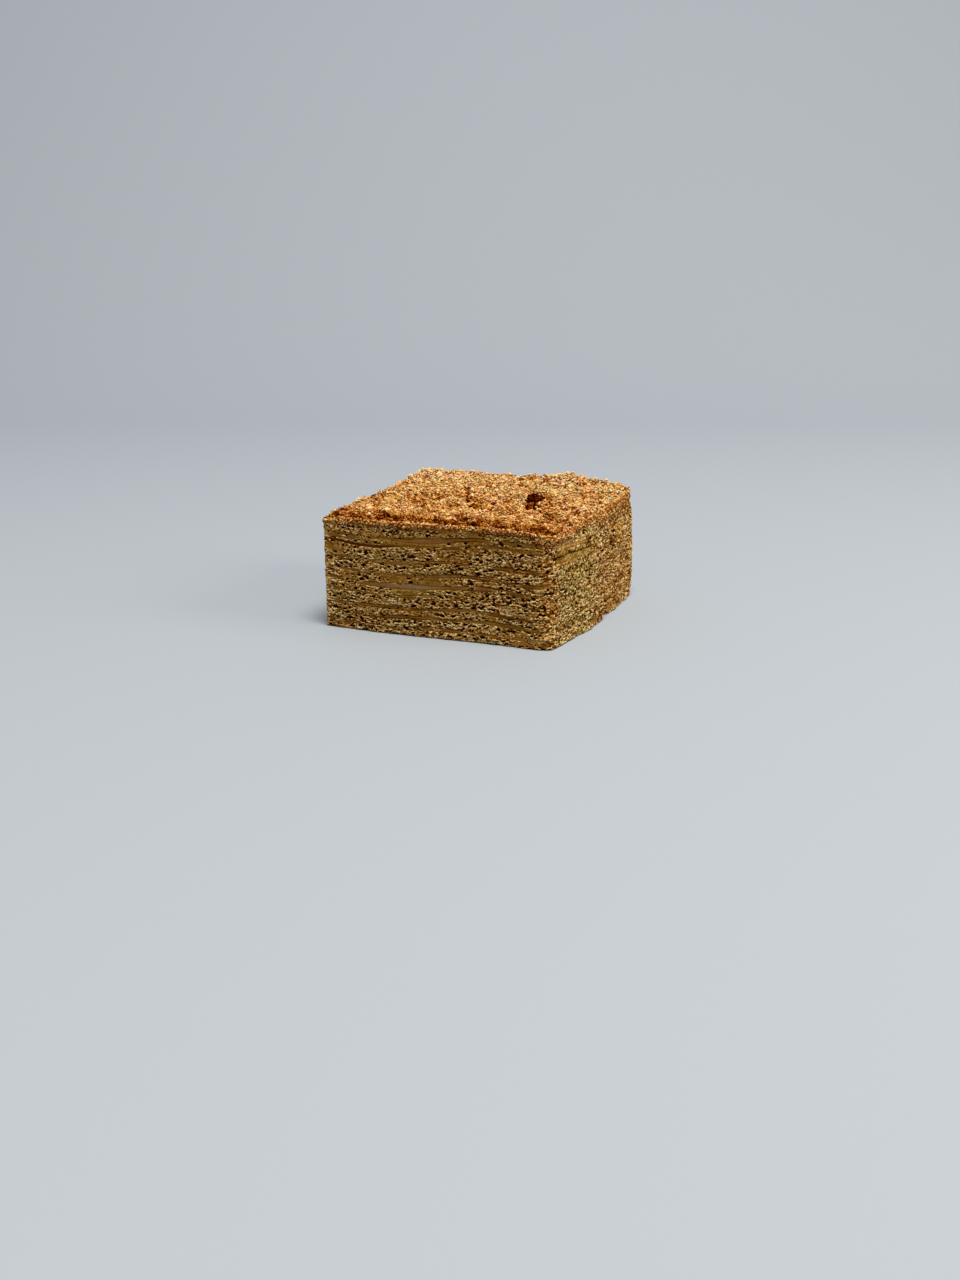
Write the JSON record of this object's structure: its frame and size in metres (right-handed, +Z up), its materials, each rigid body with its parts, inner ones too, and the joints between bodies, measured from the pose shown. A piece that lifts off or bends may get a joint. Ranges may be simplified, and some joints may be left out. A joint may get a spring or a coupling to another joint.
{
  "type": "honey cake",
  "caption": "Square-cut portion of layered honey cake: thin baked layers stacked with cream, under a top coat of cream and a bed of toasted cake crumbs.",
  "frame": {"origin": "on the resting plane, under the middle of the whole portion", "axes": "+Z up through the layers, -Y out of the front cut side, +X along the front towards the right cut side"},
  "size_m": [0.1076, 0.1022, 0.0561],
  "materials": {
    "honey_sponge": "baked honey layer, open porous crumb at the knife cut, matt",
    "caramel_cream": "soaked caramel cream, smooth where the knife drew it, soft sheen",
    "toasted_crumbs": "toasted cake crumbs of uneven size, matt with a few burnt pieces"
  },
  "bodies": {
    "root": {"cake_layer_01": "honey_sponge", "cake_layer_02": "honey_sponge", "cake_layer_03": "honey_sponge", "cake_layer_04": "honey_sponge", "cake_layer_05": "honey_sponge", "cake_layer_06": "honey_sponge", "cake_layer_07": "honey_sponge", "cake_layer_08": "honey_sponge", "cake_layer_09": "honey_sponge", "cake_layer_10": "honey_sponge", "cream_layer_01": "caramel_cream", "cream_layer_02": "caramel_cream", "cream_layer_03": "caramel_cream", "cream_layer_04": "caramel_cream", "cream_layer_05": "caramel_cream", "cream_layer_06": "caramel_cream", "cream_layer_07": "caramel_cream", "cream_layer_08": "caramel_cream", "cream_layer_09": "caramel_cream", "cream_top": "caramel_cream", "crumb_topping": "toasted_crumbs"}
  },
  "joints": []
}
